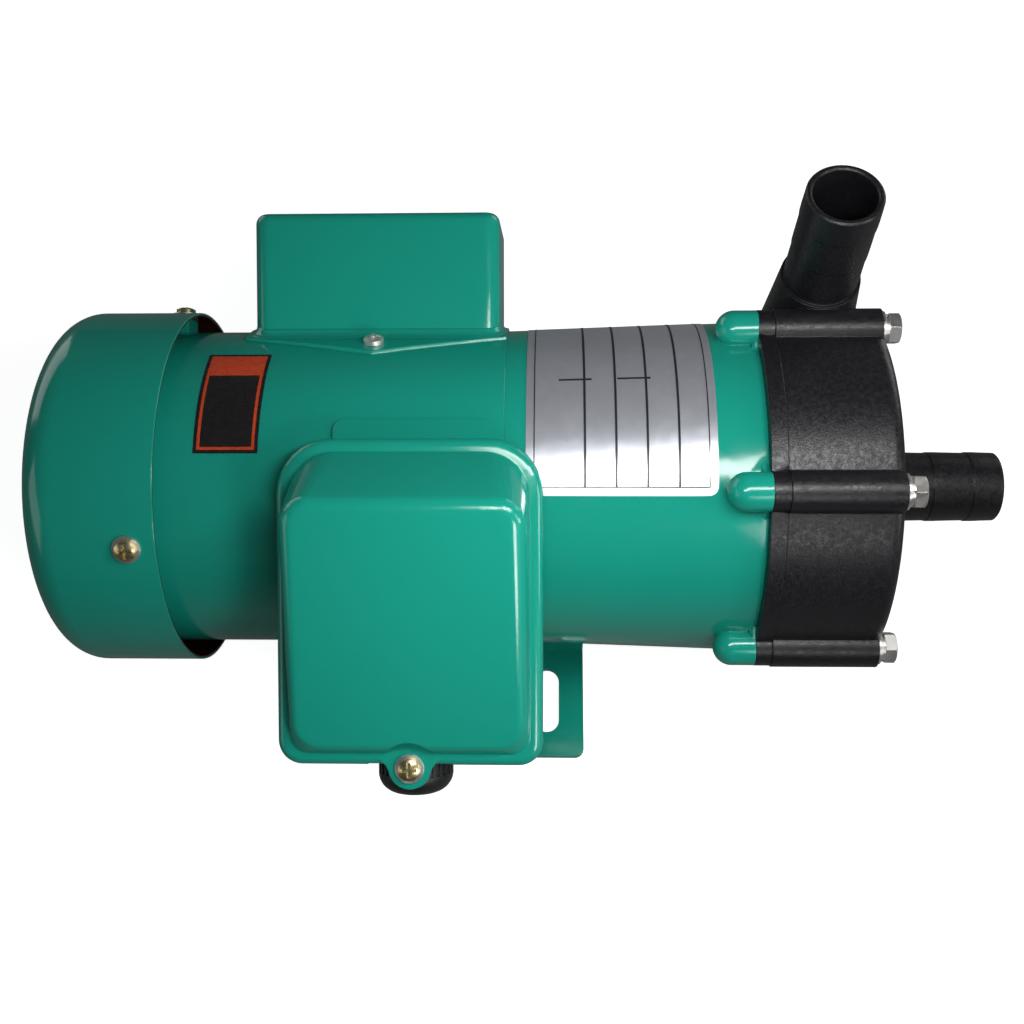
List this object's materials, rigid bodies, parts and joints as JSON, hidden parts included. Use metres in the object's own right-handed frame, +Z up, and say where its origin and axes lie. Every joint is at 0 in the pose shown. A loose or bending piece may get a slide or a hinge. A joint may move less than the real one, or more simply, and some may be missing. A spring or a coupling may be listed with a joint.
{
  "type": "magnetic drive pump",
  "caption": "Foot-mounted motor with a fan cover, terminal box and capacitor cover, driving a sealed plastic pump head with hose barbs through a magnetic coupling.",
  "frame": {"origin": "on the base plane, midway between the two front foot slots", "axes": "+X along the shaft towards the inlet, +Z up along the outlet, -Y towards the terminal box"},
  "size_m": [0.345, 0.2155, 0.179],
  "materials": {
    "green_paint": "gloss enamel",
    "black_plastic": "satin moulded",
    "black_nylon": "moulded",
    "plated_steel": "bright zinc",
    "yellow_zinc": "yellow zinc",
    "bare_steel": "ground",
    "laminations": "stacked sheet",
    "copper": "enamelled wire",
    "magnet": "sintered",
    "ceramic": "ground ceramic",
    "carbon": "filled",
    "rubber": "matt",
    "impeller_plastic": "moulded",
    "capacitor_can": "smooth",
    "terminal_plastic": "moulded",
    "brass": "turned",
    "fan_plastic": "moulded"
  },
  "bodies": {
    "pump_body": {"motor_housing": "green_paint", "rear_end_shield": "green_paint", "stator_core": "laminations", "stator_windings": "copper", "motor_bearings": "bare_steel", "fan_cover": "green_paint", "fan_cover_screws": "yellow_zinc", "fan_cover_washers": "plated_steel", "foot": "green_paint", "capacitor_cover": "green_paint", "capacitor_cover_screws": "plated_steel", "run_capacitor": "capacitor_can", "capacitor_cradle": "rubber", "terminal_box": "green_paint", "terminal_box_cover": "green_paint", "terminal_cover_screw": "yellow_zinc", "terminal_cover_washer": "plated_steel", "terminal_block": "terminal_plastic", "terminal_studs": "brass", "gland_body": "black_nylon", "gland_locknut": "black_nylon", "gland_seal": "rubber", "gland_nut": "black_nylon", "pump_bracket": "green_paint", "rear_casing": "black_plastic", "casing_seal": "rubber", "front_casing": "black_plastic", "casing_bolts": "plated_steel", "flat_washers": "plated_steel", "spring_washers": "plated_steel", "spindle": "ceramic", "thrust_rings": "ceramic", "mouth_ring": "ceramic"},
    "motor_rotor": {"rotor_core": "laminations", "motor_shaft": "bare_steel", "cooling_fan": "fan_plastic", "drive_yoke": "bare_steel", "drive_magnets": "magnet"},
    "impeller_rotor": {"impeller": "impeller_plastic", "impeller_bush": "carbon", "magnet_capsule": "black_plastic", "inner_magnets": "magnet"}
  },
  "joints": [
    {"name": "motor_spin", "type": "hinge", "parent": "pump_body", "child": "motor_rotor", "pos_m": [0, 0, 0.075], "axis": [1, 0, 0], "continuous": true},
    {"name": "impeller_spin", "type": "hinge", "parent": "pump_body", "child": "impeller_rotor", "pos_m": [0.08, 0, 0.075], "axis": [1, 0, 0], "continuous": true}
  ],
  "couplings": [
    {"joint": "impeller_spin", "follows": "motor_spin", "ratio": 1}
  ]
}
